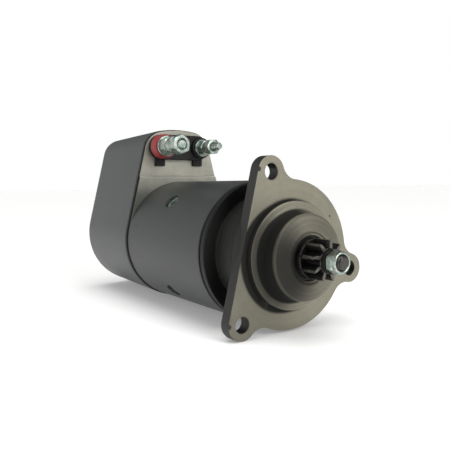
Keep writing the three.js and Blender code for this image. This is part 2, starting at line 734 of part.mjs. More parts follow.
// The spindle slides in the clutch on splines and carries the pinion on its nose
function driveSpindle() {
  const journal = turned([
    [0, journalEnd], [spindleRadius, journalEnd], [spindleRadius, pinionBack - seamGap],
    [0, pinionBack - seamGap],
  ], 32);
  const tail = rod(splineRoot, splineEnd, journalEnd + 1, 24);
  const seat = rod(pinionSeatRadius, pinionBack - 1, nutBack - seamGap, 24);
  const threaded = turned([
    [0, nutBack - 1], [spindleThreadRadius, nutBack - 1], [spindleThreadRadius, spindleEnd - 0.8],
    [spindleThreadRadius - 0.7, spindleEnd], [0, spindleEnd],
  ], 20);
  let body = journal.add(tail).add(seat).add(threaded);
  for (let i = 0; i < splineCount; i += 1) {
    const across = [-splineWidth / 2, splineWidth / 2];
    const spline = block([splineEnd, journalEnd + 1], [splineRoot - 1.2, splineTip], across);
    body = body.add(aboutAxis(spline, (360 * i) / splineCount));
  }
  add('drive', 'drive_spindle', body, 'darkSteel');
}

// Full, rounded teeth: each flank leans in from root to tip
function pinionShape() {
  const shape = new THREE.Shape();
  const pitch = (2 * Math.PI) / pinionTeeth;
  const rootHalf = pitch * 0.36;
  const pitchHalf = pitch * 0.25;
  const bend = pitchHalf * 1.1;
  const tipHalf = pitch * 0.1;
  const pitchRadius = (pinionTeeth * pinionModule) / 2;
  const at = (radius, angle) => [radius * Math.cos(angle), radius * Math.sin(angle)];
  for (let i = 0; i < pinionTeeth; i += 1) {
    const middle = radians(pinionToothPhase) + Math.PI + i * pitch;
    if (i === 0) shape.moveTo(...at(pinionRootRadius, middle - rootHalf));
    else shape.lineTo(...at(pinionRootRadius, middle - rootHalf));
    shape.quadraticCurveTo(...at(pitchRadius - 1, middle - bend), ...at(pitchRadius, middle - pitchHalf));
    shape.lineTo(...at(pinionTipRadius, middle - tipHalf));
    shape.lineTo(...at(pinionTipRadius, middle + tipHalf));
    shape.lineTo(...at(pitchRadius, middle + pitchHalf));
    shape.quadraticCurveTo(...at(pitchRadius - 1, middle + bend), ...at(pinionRootRadius, middle + rootHalf));
  }
  shape.closePath();
  return shape;
}

// The front corner that is bevelled off one flank of a tooth, so that it meshes easily
function toothBevel(angle) {
  const radial = [pinionRootRadius - 0.8, pinionTipRadius + 2];
  const corner = block([0, bevelThickness], radial, [-1, bevelLength]);
  const placed = corner.rotate([0, -bevelAngle, 0]).translate([pinionFront, 0, bevelStart]);
  return aboutAxis(placed, angle);
}

function pinion() {
  const collarFront = pinionBack + pinionCollarLength;
  let body = drawnOut(pinionShape(), collarFront - 1, pinionFront, 2);
  for (let i = 0; i < pinionTeeth; i += 1) {
    body = body.subtract(toothBevel(pinionToothPhase + 180 + (360 * i) / pinionTeeth));
  }
  const collar = rod(pinionTipRadius, pinionBack, collarFront, 32);
  const hub = rod(pinionHubRadius, pinionFront - 2, pinionHubFront, 24);
  const bore = rod(pinionBoreRadius, pinionBack - 1, pinionHubFront + 1, 24);
  add('drive', 'pinion', body.add(collar).add(hub).subtract(bore), 'darkSteel');
}

// A self-locking hexagon nut with a round collar at its front
function pinionNut() {
  const collar = sleeve(nutBoreRadius, nutCollarRadius, nutFront - 3, nutFront, 24);
  const body = hexBody(pinionNutAcrossFlats, nutBoreRadius, nutBack, nutFront - 2.4, 30).add(collar);
  add('drive', 'pinion_nut', body, 'zinc');
}

// ---- Engaging solenoid and control relay ----

const plungerBack = -284;
const plungerFront = -236;
const rodEnd = -55;

function solenoid() {
  const [outer, wall] = [solenoidRadius, 3];
  const caseBody = turned([
    [plungerRadius + 0.6, solenoidBack], [outer, solenoidBack], [outer, solenoidFront],
    [rodRadius + 0.8, solenoidFront], [rodRadius + 0.8, solenoidFront - 5], [outer - wall, solenoidFront - 5],
    [outer - wall, solenoidBack + 4], [plungerRadius + 0.6, solenoidBack + 4],
  ]);
  add('housing', 'solenoid_case', caseBody, 'darkSteel');
  const coil = sleeve(plungerRadius + 1.2, outer - wall - 0.6, solenoidBack + 4.6, solenoidFront - 5.6);
  add('housing', 'solenoid_coil', coil, 'copper');
  const plunger = sleeve(rodRadius + 0.2, plungerRadius, plungerBack, plungerFront);
  add('engaging', 'solenoid_plunger', plunger, 'steel');
  add('engaging', 'engaging_rod', rod(rodRadius, plungerBack - 12, rodEnd, 20), 'steel');
  const spring = coilSpring(8.5, 1.8, 4, plungerFront + 0.3, solenoidFront - 5.3, 10);
  add('engaging', 'return_spring', spring, 'steel');
  const bridge = block([plungerBack - 8, plungerBack - 4.5], [-14, 14], [-5, 5]);
  const bored = bridge.subtract(rod(rodRadius + 0.2, plungerBack - 10, plungerBack - 2, 20));
  add('engaging', 'contact_bridge', bored, 'copper');
}

function controlRelay() {
  const cup = turned([
    [6.2, relayBack], [relayRadius, relayBack], [relayRadius, relayFront], [0, relayFront],
    [0, relayFront - 3], [relayRadius - 2, relayFront - 3], [relayRadius - 2, relayBack + 2],
    [6.2, relayBack + 2],
  ], 28);
  add('housing', 'control_relay', movedTo(cup, 0, relayHeight), 'darkSteel');
  add('relay', 'relay_plunger', movedTo(rod(5.8, relayBack - 4, relayFront - 12, 20), 0, relayHeight), 'steel');
}

driveEndHousing();
noseBushAndSeal();
poleHousing();
poleAngles.forEach((angle, i) => {
  poleShoe(angle, `pole_shoe_${i + 1}`);
  fieldCoil(angle, `field_coil_${i + 1}`);
  poleScrew(angle, `pole_screw_${i + 1}`);
});
commutatorEndBracket();
coverGasket();
rearCover();
coverScrews.forEach((screw, i) => coverScrew(screw, `cover_screw_${i + 1}`));
terminalInsulator();
terminals.forEach(terminal);
armature();
commutator();
brushHolder();
brushAngles.forEach((angle, i) => brushAndSpring(angle, i + 1));
rearBearing();
clutchDrum();
driveSpindle();
pinion();
pinionNut();
solenoid();
controlRelay();

export default starter;
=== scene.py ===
import math

import bmesh
import bpy
from mathutils import Matrix, Quaternion, Vector


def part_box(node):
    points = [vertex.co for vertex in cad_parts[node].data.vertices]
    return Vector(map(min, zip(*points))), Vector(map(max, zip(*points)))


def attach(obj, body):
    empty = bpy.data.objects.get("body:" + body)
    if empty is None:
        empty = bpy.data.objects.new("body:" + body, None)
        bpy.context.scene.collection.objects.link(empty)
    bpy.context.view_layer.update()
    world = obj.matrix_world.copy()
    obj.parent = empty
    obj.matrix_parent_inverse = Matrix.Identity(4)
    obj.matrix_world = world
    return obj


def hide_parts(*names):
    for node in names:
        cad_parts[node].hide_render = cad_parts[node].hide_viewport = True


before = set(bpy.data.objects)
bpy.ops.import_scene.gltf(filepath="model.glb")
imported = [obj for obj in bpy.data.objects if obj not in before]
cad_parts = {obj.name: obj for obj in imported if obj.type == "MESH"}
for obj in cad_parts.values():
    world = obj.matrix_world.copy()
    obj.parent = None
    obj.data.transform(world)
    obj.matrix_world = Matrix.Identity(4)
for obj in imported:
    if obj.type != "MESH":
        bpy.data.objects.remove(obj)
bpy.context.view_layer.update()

# A heavy-duty starter motor. Sizes are in millimetres until a piece is finished: X runs along the
# motor towards the pinion, Z points up to the terminals, and the flange's front face is at X 0.

MILLIMETRES = 1000
TINY = 1e-3

# Flange: a disc with three bolt lobes, two of them joined by a straight edge
FLANGE_RADIUS = 64
FLANGE_THICKNESS = 12
BOLT_CIRCLE = 73
LOBE_RADIUS = 13.3
LOBE_ANGLES = (106, 226, -14)
HOLLOW_RADIUS = 15
BOLT_HOLE = 6.75
PILOT_RADIUS = 46
PILOT_HEIGHT = 6.1
NOSE_RADIUS = 36.2
NOSE_BORE = 17.3
NOSE_LIP = 20.5
SEAL_SEAT = 18.6
NECK_RADIUS = 50
NECK_BORE = 44
RIM_FRONT = -38.7
RIM_BACK = -44.1
SPIGOT_RADIUS = 57.2

# Pole housing and its countersunk screws
POLE_ANGLES = (45, 135, 225, 315)
POLE_SCREW_PLACE = -125
POLE_SCREW_SHANK = 5
POLE_SCREW_HEAD = 7.6
POLE_SCREW_TOP = 60.9
POLE_SCREW_CONE = 2.6
POLE_SCREW_BOTTOM = 44.7
SOCKET_FLATS = 6.4
SOCKET_DEPTH = 2.5
POLE_BORE = 57.5

# Tear-drop outline of the bracket, the gasket and the rear cover
DROP_RADIUS = 64.5
DROP_TOP = 121
DROP_CORNER = 24
DROP_TILT = 14.2
STEP_HEIGHT = 69.35
BRACKET_INSET = 1.3
COVER_EDGE = 16
COVER_WALL = 3
COVER_DRAFT = 3
COVER_MIDDLE = 28

# Pinion
PINION_FRONT = 45.8
TEETH = 9
TOOTH_TIP = 16.6
TOOTH_PITCH = 13.5
TOOTH_ROOT = 10.3
TOOTH_PHASE = 167.5
TOOTH_BEVEL = 58

# Terminals and spindle
THREAD_PITCH = 1.25


class Extent:
    """Where a CAD node lies at rest, in millimetres."""

    def __init__(self, node):
        low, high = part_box(node)
        self.back, self.left, self.low = (c * MILLIMETRES for c in low)
        self.front, self.right, self.high = (c * MILLIMETRES for c in high)
        self.radius = (self.high - self.low) / 2
        self.middle = ((self.left + self.right) / 2, (self.low + self.high) / 2)


# ---- Shapes ----


def closed(bm):
    """A shape with its doubled points merged and its faces turned outwards."""
    bmesh.ops.remove_doubles(bm, verts=bm.verts, dist=TINY)
    bmesh.ops.recalc_face_normals(bm, faces=bm.faces)
    return bm


def arc(middle, radius, start, end, steps):
    """Points on an arc across the axis. Angles are in degrees from +Y towards +Z."""
    angles = (math.radians(start + (end - start) * i / steps) for i in range(steps + 1))
    return [(middle[0] + radius * math.cos(a), middle[1] + radius * math.sin(a)) for a in angles]


def polar(radius, angle):
    return radius * math.cos(math.radians(angle)), radius * math.sin(math.radians(angle))


def drawn_out(outline, back, front):
    """An outline of (y, z) points drawn out along the axis."""
    bm = bmesh.new()
    face = bm.faces.new([bm.verts.new((back, y, z)) for y, z in outline])
    drawn = bmesh.ops.extrude_face_region(bm, geom=[face])["geom"]
    moved = [part for part in drawn if isinstance(part, bmesh.types.BMVert)]
    bmesh.ops.translate(bm, vec=(front - back, 0, 0), verts=moved)
    return closed(bm)


def turned(profile, steps=96):
    """A body turned about the axis. Its closed profile is (radius, x) corners, and a third
    number rounds the corner off."""
    bm = bmesh.new()
    corners = [bm.verts.new((x, 0, radius)) for radius, x, *_ in profile]
    bm.faces.new(corners)
    for corner, (_, _, *rounding) in zip(corners, profile):
        if rounding:
            bevelled(bm, [corner], rounding[0], 5, "VERTICES")
    bmesh.ops.delete(bm, geom=bm.faces[:], context="FACES_ONLY")
    on_axis = [edge for edge in bm.edges if all(v.co.z < TINY for v in edge.verts)]
    bmesh.ops.delete(bm, geom=on_axis, context="EDGES")
    spin(bm, 2 * math.pi, steps, merge=True)
    return closed(bm)


def spin(bm, angle, steps, rise=0, merge=False):
    """Spins what the shape holds about the axis, moving it forward by rise altogether."""
    everything = bm.verts[:] + bm.edges[:] + bm.faces[:]
    bmesh.ops.spin(
        bm, geom=everything, cent=(0, 0, 0), axis=(1, 0, 0), dvec=(rise / steps, 0, 0),
        angle=angle, steps=steps, use_merge=merge,
    )


def bevelled(bm, geometry, offset, segments=2, affect="EDGES"):
    bmesh.ops.bevel(
        bm, geom=geometry, offset=offset, segments=segments, profile=0.5, affect=affect,
        material=-1, clamp_overlap=True,
    )
    return bm


def rim(bm, x):
    """The edges that lie at one place along the axis and have a corner there."""
    return [
        edge for edge in bm.edges
        if all(abs(v.co.x - x) < TINY for v in edge.verts)
        and edge.calc_face_angle(0) > math.radians(30)
    ]


def rod(radius, back, front, rounding=0.4, steps=64):
    return turned([(0, back), (radius, back, rounding), (radius, front, rounding), (0, front)], steps)


def ring(inner, outer, back, front, rounding=0.4, steps=64):
    return turned([
        (inner, back, rounding), (outer, back, rounding),
        (outer, front, rounding), (inner, front, rounding),
    ], steps)


def drill(radius, back, front, chamfer=0.6):
    """What a drill takes away between two faces, with both mouths chamfered."""
    wide = radius + chamfer + 1
    return turned([
        (0, back - 1), (wide, back - 1), (radius, back + chamfer),
        (radius, front - chamfer), (wide, front + 1), (0, front + 1),
    ], 48)


def block(x, y, z):
    bm = bmesh.new()
    bmesh.ops.create_cube(bm, size=1)
    size = Vector(high - low for low, high in (x, y, z))
    middle = Vector((high + low) / 2 for low, high in (x, y, z))
    bmesh.ops.scale(bm, vec=size, verts=bm.verts)
    bmesh.ops.translate(bm, vec=middle, verts=bm.verts)
    return bm


def shifted(bm, x=0, y=0, z=0):
    bmesh.ops.translate(bm, vec=(x, y, z), verts=bm.verts)
    return bm


def swung(bm, degrees, axis="X"):
    """A shape turned about one of the axes; about X it goes from +Y towards +Z."""
    bmesh.ops.transform(bm, matrix=Matrix.Rotation(math.radians(degrees), 4, axis), verts=bm.verts)
    return bm


def outward(bm, x, angle):
    """A shape made along the axis, stood up on it: its X becomes the distance from the axis."""
    swung(bm, 90, "Z")
    shifted(bm, x=x)
    return swung(bm, angle)


def gathered(*shapes):
    """Several closed shapes in one."""
    together = bmesh.new()
    for shape in shapes:
        mesh = mesh_of(shape)
        together.from_mesh(mesh)
        bpy.data.meshes.remove(mesh)
    return together


def mesh_of(bm):
    mesh = bpy.data.meshes.new("shape")
    bm.to_mesh(mesh)
    bm.free()
    return mesh


def combined(operation, body, *others):
    """A shape with others joined to it, cut from it, or kept only where both are."""
    objects = [bpy.data.objects.new("shape", mesh_of(bm)) for bm in (body, gathered(*others))]
    for made in objects:
        bpy.context.scene.collection.objects.link(made)
    modifier = objects[0].modifiers.new("combine", "BOOLEAN")
    modifier.operation = operation
    modifier.object = objects[1]
    result = bmesh.new()
    result.from_object(objects[0], bpy.context.evaluated_depsgraph_get())
    for made in objects:
        bpy.data.meshes.remove(made.data)
    return closed(result)


def joined(body, *others):
    return combined("UNION", body, *others)


def cut(body, *others):
    return combined("DIFFERENCE", body, *others)


def kept(body, *others):
    return combined("INTERSECT", body, *others)


def thread(root, tip, pitch, back, front):
    """The ridge of a screw thread, let a little into the core it runs round."""
    bm = bmesh.new()
    sunk = root - 0.3
    section = ((sunk, 0), (root, 0.1), (tip, 0.42), (tip, 0.58), (root, 0.9), (sunk, 1))
    bm.faces.new([bm.verts.new((back + part * pitch, 0, radius)) for radius, part in section])
    turns = (front - back) / pitch - 1
    spin(bm, 2 * math.pi * turns, round(28 * turns), rise=pitch * turns)
    return closed(bm)


def hexagon(flats, turn):
    return [polar(flats / 2 / math.cos(math.pi / 6), 60 * i + turn) for i in range(6)]


def nut(flats, hole, back, front, turn, crown=0.4, sink=0.8):
    """A hexagonal nut with the corners of both faces turned off and the hole countersunk."""
    corner = flats / 2 / math.cos(math.pi / 6) + 0.2
    fall = (corner - flats / 2 + 0.4) * 0.6
    front_fall = (corner - flats / 2 + crown) * 0.6
    blank = turned([
        (0, back), (flats / 2 - 0.4, back), (corner, back + fall),
        (corner, front - front_fall), (flats / 2 - crown, front), (0, front),
    ])
    prism = drawn_out(hexagon(flats, turn), back, front)
    return cut(kept(prism, blank), drill(hole, back, front, sink))


def finished(name, bm, body, slot, finish, *nodes):
    """Makes a shape a piece that rides on a body and stands for CAD nodes."""
    bmesh.ops.scale(bm, vec=Vector((1, 1, 1)) / MILLIMETRES, verts=bm.verts)
    rough = bpy.data.objects.new(name, mesh_of(bm))
    bpy.context.scene.collection.objects.link(rough)
    rough.data.shade_smooth()
    rough.data.set_sharp_from_angle(angle=math.radians(32))
    even = rough.modifiers.new("even_shading", "WEIGHTED_NORMAL")
    even.keep_sharp = True
    smooth = bpy.data.meshes.new_from_object(rough.evaluated_get(bpy.context.evaluated_depsgraph_get()))
    bpy.data.meshes.remove(rough.data)
    piece = bpy.data.objects.new(name, smooth)
    bpy.context.scene.collection.objects.link(piece)
    piece.data.materials.append(finish)
    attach(piece, body)
    if nodes:
        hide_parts(*nodes)
    return piece


# ---- Finishes ----


class Socket:
    """An output of a shader node, which Python's own operators do sums with."""

    def __init__(self, recipe, output):
        self.recipe = recipe
        self.output = output

    def __add__(self, other):
        return self.recipe.math("ADD", self, other)

    def __sub__(self, other):
        return self.recipe.math("SUBTRACT", self, other)

    def __rsub__(self, other):
        return self.recipe.math("SUBTRACT", other, self)

    def __mul__(self, other):
        return self.recipe.math("MULTIPLY", self, other)

    def __truediv__(self, other):
        return self.recipe.math("DIVIDE", self, other)

    def __pow__(self, other):
        return self.recipe.math("POWER", self, other)

    __radd__ = __add__
    __rmul__ = __mul__


class Recipe:
    """A material under construction. place is the position on the object in millimetres."""

    def __init__(self, name):
        self.material = bpy.data.materials.new(name)
        self.material.use_nodes = True
        self.tree = self.material.node_tree
        self.shader = self.tree.nodes["Principled BSDF"]
        metres = self.node("ShaderNodeTexCoord", output="Object")
        scale = {"Vector": metres, "Scale": MILLIMETRES}
        self.place = self.node("ShaderNodeVectorMath", {"operation": "SCALE"}, scale)
        split = self.node("ShaderNodeSeparateXYZ", {}, {"Vector": self.place})
        self.x, self.y, self.z = (Socket(self, o) for o in split.output.node.outputs)

    def node(self, kind, settings=None, inputs=None, output=0):
        """Any node: its type, its settings, its sockets' values or links, and the output wanted."""
        made = self.tree.nodes.new(kind)
        for name, value in (settings or {}).items():
            setattr(made, name, value)
        for name, value in (inputs or {}).items():
            self.feed(made.inputs[name], value)
        return Socket(self, made.outputs[output])

    def feed(self, entry, value):
        if isinstance(value, Socket):
            self.tree.links.new(value.output, entry)
        else:
            entry.default_value = value

    def math(self, operation, *values):
        return self.node("ShaderNodeMath", {"operation": operation}, dict(enumerate(values)))

    def noise(self, size, detail=3, roughness=0.55, stretch=(1, 1, 1), shift=0):
        """Cloudy noise with features of about that size, between 0 and 1."""
        mapping = {"Vector": self.place, "Location": (shift, shift, shift), "Scale": stretch}
        moved = self.node("ShaderNodeMapping", {}, mapping)
        inputs = {"Vector": moved, "Scale": 1 / size, "Detail": detail, "Roughness": roughness}
        return self.node("ShaderNodeTexNoise", {}, inputs)

    def streaks(self, along, size, detail=2):
        """Noise that changes along one measure only, as turning marks do."""
        settings = {"noise_dimensions": "1D"}
        inputs = {"W": along, "Scale": 1 / size, "Detail": detail}
        return self.node("ShaderNodeTexNoise", settings, inputs)

    def rise(self, value, low, high):
        """0 at low, 1 at high, and smooth between; low may be above high."""
        settings = {"interpolation_type": "SMOOTHSTEP"}
        return self.node("ShaderNodeMapRange", settings, {0: value, 1: low, 2: high})

    def blend(self, amount, first, second):
        settings = {"data_type": "RGBA"}
        return self.node("ShaderNodeMix", settings, {0: amount, 6: first, 7: second}, 2)

    def radius(self, y=0, z=0):
        across, up = self.y - y, self.z - z
        return (across * across + up * up) ** 0.5

    def near(self, point, reach, ragged=0):
        """1 at a point, falling to 0 at about reach from it."""
        centre = {0: self.place, 1: point}
        away = self.node("ShaderNodeVectorMath", {"operation": "DISTANCE"}, centre, "Value")
        if ragged:
            away = away + (self.noise(reach * 0.6) - 0.5) * ragged
        return self.rise(away, reach, reach * 0.6)

    def relief(self, height, depth, strength=1):
        """A Bump node's normal, for a height from 0 to 1 that stands for depth millimetres."""
        inputs = {"Height": height, "Distance": depth / MILLIMETRES, "Strength": strength}
        return self.node("ShaderNodeBump", {}, inputs)

    def finish(self, **inputs):
        """Sets the shader's sockets, whose names have an underscore for each space."""
        for name, value in inputs.items():
            self.feed(self.shader.inputs[name.replace("_", " ")], value)
        return self.material


def shade(red, green, blue):
    """A colour as seen on a screen, from 0 to 255, as the shader wants it."""
    return (*(((part / 255 + 0.055) / 1.055) ** 2.4 for part in (red, green, blue)), 1)


def satin_grey_paint():
    r = Recipe("satin_grey_paint")
    cloud = r.noise(38)
    grain = r.noise(0.7, 2)
    dust = r.rise(r.noise(3.2, 5, 0.7), 0.6, 0.8)
    scuff = r.rise(r.noise(11, 5, 0.7, stretch=(0.5, 1, 1), shift=31), 0.6, 0.72)
    colour = r.blend(cloud, shade(43, 46, 45), shade(54, 57, 56))
    colour = r.blend(r.rise(r.x, -191, -193) * 0.4, colour, shade(76, 79, 79))
    colour = r.blend(dust * 0.3, colour, shade(106, 107, 102))
    colour = r.blend(scuff * 0.25, colour, shade(36, 38, 36))
    return r.finish(
        Base_Color=colour, Roughness=0.34 + cloud * 0.1 + grain * 0.06 + scuff * 0.05,
        Normal=r.relief(grain, 0.02, 0.5),
    )


def machined_casting():
    """Black paint all over but for the turned front: the flange's face, the pilot and the nose. Painted
    shade darkens the turned metal towards its left, the pilot's foot, the nose wall and the rim behind
    the flange.
    """
    r = Recipe("machined_casting")
    out = r.radius()
    ragged = r.noise(2.4, 4, 0.6)
    smudge = r.noise(17, 4, 0.6)
    bare = r.rise(r.x + (ragged - 0.5) * 0.9, -0.9, -0.5)
    paint_spots = (
        ((0, -37, 79), 3.2), ((0, -33.4, 72.5), 2.6), ((0, -35, -34), 1.4), ((0, -64, -52), 2.8),
    )
    for place, reach in paint_spots:
        bare = bare * (1 - r.near(place, reach, 2.4))
    marks = r.streaks(out, 0.5, 3)
    broad = r.streaks(out, 4)
    pit = r.near((0, 45.1, 31.1), 1.1, 0.6)
    metal = r.blend(smudge, shade(126, 123, 109), shade(154, 151, 135))
    speckle = r.noise(1.3, 4, 0.7)
    metal = r.blend(r.rise(speckle, 0.5, 0.75) * 0.4, metal, shade(92, 88, 76))
    raised = r.rise(r.x, PILOT_HEIGHT - 1, PILOT_HEIGHT)
    metal = r.blend(r.rise(broad, 0.4, 0.65) * (0.06 + raised * 0.25), metal, shade(104, 101, 89))
    metal = r.blend((marks - 0.35) * 0.45, metal, shade(92, 89, 79))
    # Painted shade: the turned metal is coloured darker towards the left of the axis, and the nose cone
    # darker all round, most on its left.
    shadowed = (r.y * -0.966 - r.z * 0.259) / out
    painted_shade = r.rise(shadowed + (smudge - 0.5) * 0.5, 0.05, 0.85) * (0.35 + raised * 0.45)
    cone = r.rise(out, NOSE_RADIUS + 1, NOSE_RADIUS - 2) * r.rise(r.x, 18, 20)
    painted_shade = r.math("MAXIMUM", painted_shade, cone * (0.3 + r.rise(shadowed, -0.3, 0.95) * 0.66))
    metal = r.blend(painted_shade, metal, shade(24, 23, 20))
    # Painted shade together with black paint: a dark band round the pilot's foot and over the nose
    # wall, widest on the left and fading out on the right.
    spread = r.rise(shadowed, 0.1, 1) * 4.5
    foot = r.rise(out - spread, PILOT_RADIUS + 3.5, PILOT_RADIUS + 0.5)
    foot = foot * r.rise(r.x, PILOT_HEIGHT - 0.4, PILOT_HEIGHT - 1) * r.rise(r.x, -1, -0.6)
    wall = r.rise(out - spread * 0.45, NOSE_RADIUS + 4.4, NOSE_RADIUS + 2)
    wall = wall * r.rise(r.x, 21.5, 19) * r.rise(r.x, 5.6, 6)
    shade_and_black_paint = r.math("MAXIMUM", foot * r.rise(smudge, 0.1, 0.4), wall) * r.rise(shadowed, -1.1, -0.2)
    bare = bare * (1 - shade_and_black_paint * 0.97)
    metal = r.blend(pit, metal, shade(40, 37, 33))
    paint = r.blend(r.noise(30), shade(27, 29, 27), shade(42, 43, 40))
    # Painted shade: the rim behind the flange is coloured near black.
    recess_shade = r.rise(out, 50.5, 52) * r.rise(r.x, -13, -15)
    paint = r.blend(r.math("MAXIMUM", recess_shade, shade_and_black_paint), paint, shade(9, 9, 8))
    cast = r.noise(1.1, 3)
    height = r.blend(bare, cast, marks)
    return r.finish(
        Base_Color=r.blend(bare, paint, metal), Metallic=bare * (0.7 - painted_shade * 0.4),
        Specular_IOR_Level=0.3,
        Roughness=bare * (smudge * 0.12 - 0.02) + shade_and_black_paint * 0.35 + painted_shade * 0.2 + 0.42,
        Normal=r.relief(height, 0.05, 0.5),
    )


def bare_bracket():
    """Bare metal, darker towards the bottom with painted shade, with a painted highlight along the step
    and a blackened outer edge.
    """
    r = Recipe("bare_cast_bracket")
    cloud = r.noise(15, 4, 0.6)
    grain = r.noise(0.9, 3)
    brushed = r.noise(1.2, 3, stretch=(1, 0.08, 1))
    stain = r.rise(r.noise(9, 5, 0.65, shift=12), 0.55, 0.75)
    colour = r.blend(cloud, shade(142, 141, 130), shade(182, 180, 168))
    colour = r.blend(stain * 0.3, colour, shade(98, 95, 84))
    colour = r.blend(brushed * 0.2, colour, shade(112, 109, 99))
    # Painted shade: the plate is coloured darker towards the bottom.
    painted_shade = r.rise(r.z + (cloud - 0.5) * 8, 76, 46)
    colour = r.blend(painted_shade * 0.85, colour, shade(58, 61, 56))
    # Painted highlight: the chamfer along the step is coloured near white.
    ridge = r.rise(r.z, STEP_HEIGHT - 1, STEP_HEIGHT - 0.7)
    ridge = ridge * r.rise(r.z, STEP_HEIGHT + 0.3, STEP_HEIGHT)
    colour = r.blend(ridge * r.rise(r.x, -189, -188.7), colour, shade(226, 225, 214))
    edge = r.rise(r.x, -188, -190.6)
    colour = r.blend(edge * r.rise(r.z, STEP_HEIGHT + 1, STEP_HEIGHT - 1), colour, shade(20, 21, 20))
    return r.finish(
        Base_Color=colour, Metallic=0.6, Roughness=0.38 + cloud * 0.15,
        Normal=r.relief(grain, 0.04, 0.5),
    )


def rubber(name, dark, light):
    r = Recipe(name)
    grain = r.noise(0.6, 3)
    colour = r.blend(r.noise(7, 4), dark, light)
    return r.finish(
        Base_Color=colour, Roughness=0.5 + grain * 0.2, Specular_IOR_Level=0.35,
        Normal=r.relief(grain, 0.03, 0.6),
    )


def red_insulation():
    r = Recipe("red_insulation")
    fibre = r.noise(1.4, 4, stretch=(0.3, 1, 1))
    colour = r.blend(fibre, shade(122, 32, 34), shade(156, 48, 49))
    return r.finish(
        Base_Color=colour, Roughness=0.42 + fibre * 0.12, Normal=r.relief(fibre, 0.03, 0.5),
    )


def zinc_plate():
    """Bright plating with a faint blue-green cast."""
    r = Recipe("bright_zinc_plate")
    tint = r.rise(r.noise(3.5, 2), 0.35, 0.65)
    worn = r.noise(0.8, 4, 0.65)
    colour = r.blend(tint, shade(140, 160, 152), shade(190, 195, 186))
    colour = r.blend(r.rise(worn, 0.5, 0.7) * 0.45, colour, shade(84, 98, 92))
    return r.finish(
        Base_Color=colour, Metallic=1, Roughness=0.27 + worn * 0.2,
        Normal=r.relief(worn, 0.015, 0.5),
    )


def blacked_steel():
    """Blacked, with the tips of the teeth and the front edges rubbed bright."""
    r = Recipe("blacked_steel")
    cloud = r.noise(5, 4)
    scratch = r.noise(0.5, 3, stretch=(0.15, 1, 1))
    rubbed = r.rise(r.radius(), TOOTH_TIP - 0.7, TOOTH_TIP - 0.1) * r.rise(scratch, 0.3, 0.6)
    rubbed = rubbed * (0.2 + r.rise(r.x, 31, 34) * 0.5)
    front = r.rise(r.x, PINION_FRONT - 0.5, PINION_FRONT - 0.1)
    front = front * r.rise(r.x, PINION_FRONT + 0.3, PINION_FRONT)
    rubbed = r.math("MAXIMUM", rubbed, front * 0.6)
    colour = r.blend(cloud, shade(26, 25, 24), shade(44, 43, 41))
    colour = r.blend(rubbed, colour, shade(126, 124, 118))
    return r.finish(
        Base_Color=colour, Metallic=0.8, Roughness=0.32 + cloud * 0.16,
        Normal=r.relief(scratch, 0.02, 0.5),
    )


def turned_metal(name, dark, light, roughness=0.3):
    """Plain turned metal, with marks that run round the axis."""
    r = Recipe(name)
    marks = r.streaks(r.x + r.radius(), 0.5, 3)
    cloud = r.noise(8, 4)
    colour = r.blend(cloud * 0.6 + marks * 0.4, dark, light)
    return r.finish(
        Base_Color=colour, Metallic=1, Roughness=roughness + cloud * 0.12,
        Normal=r.relief(marks, 0.02, 0.5),
    )


def carbon_block():
    r = Recipe("carbon_brush")
    grain = r.noise(0.5, 4, 0.7)
    colour = r.blend(grain, shade(46, 42, 39), shade(84, 74, 66))
    return r.finish(Base_Color=colour, Metallic=0.3, Roughness=0.6, Normal=r.relief(grain, 0.03))


GREY_PAINT = satin_grey_paint()
CASTING = machined_casting()
BRACKET = bare_bracket()
RUBBER = rubber("black_rubber", shade(7, 7, 8), shade(17, 17, 18))
BLACK_INSULATION = rubber("black_insulation", shade(10, 10, 11), shade(22, 22, 22))
RED_INSULATION = red_insulation()
ZINC = zinc_plate()
BLACKED = blacked_steel()
STEEL = turned_metal("turned_steel", shade(120, 120, 118), shade(168, 168, 165))
DARK_STEEL = turned_metal("dark_turned_steel", shade(62, 61, 59), shade(96, 95, 92), 0.34)
COPPER = turned_metal("copper", shade(150, 84, 52), shade(196, 122, 82))
BRONZE = turned_metal("sintered_bronze", shade(128, 98, 54), shade(168, 134, 82), 0.4)
CARBON = carbon_block()


# ---- Drive end housing ----


def lobe_bearings():
    """How far round the disc each hollow curve starts from its lobe, and how far out its centre is."""
    out = FLANGE_RADIUS + HOLLOW_RADIUS
    across = LOBE_RADIUS + HOLLOW_RADIUS
    cosine = (BOLT_CIRCLE ** 2 + out ** 2 - across ** 2) / (2 * BOLT_CIRCLE * out)
    return math.degrees(math.acos(cosine)), out


def flange_outline():
    """Anticlockwise from the straight edge's lower lobe, past the right lobe, to the upper one."""
    spread, out = lobe_bearings()
    upper, lower, right = LOBE_ANGLES
    straight = (upper + lower) / 2

    def facing(lobe, angle):
        (y, z), (lobe_y, lobe_z) = polar(out, angle), polar(BOLT_CIRCLE, lobe)
        return math.degrees(math.atan2(z - lobe_z, y - lobe_y))

    def lobe_end(lobe, start, end):
        return arc(polar(BOLT_CIRCLE, lobe), LOBE_RADIUS, start, end + (360 if end < start else 0), 28)

    def hollow(lobe, angle, leaving):
        ends = [facing(lobe, angle) + 180, angle + 180]
        start, end = ends if leaving else reversed(ends)
        end -= 360 * math.ceil((end - start) / 360)
        return arc(polar(out, angle), HOLLOW_RADIUS, start, end, 10)[1:-1]

    return [
        *lobe_end(lower, straight, facing(lower, lower + spread)),
        *hollow(lower, lower + spread, True),
        *arc((0, 0), FLANGE_RADIUS, lower + spread, right + 360 - spread, 40),
        *hollow(right, right - spread, False),
        *lobe_end(right, facing(right, right - spread), facing(right, right + spread)),
        *hollow(right, right + spread, True),
        *arc((0, 0), FLANGE_RADIUS, right + spread, upper - spread, 50),
        *hollow(upper, upper - spread, False),
        *lobe_end(upper, facing(upper, upper - spread), straight),
    ]


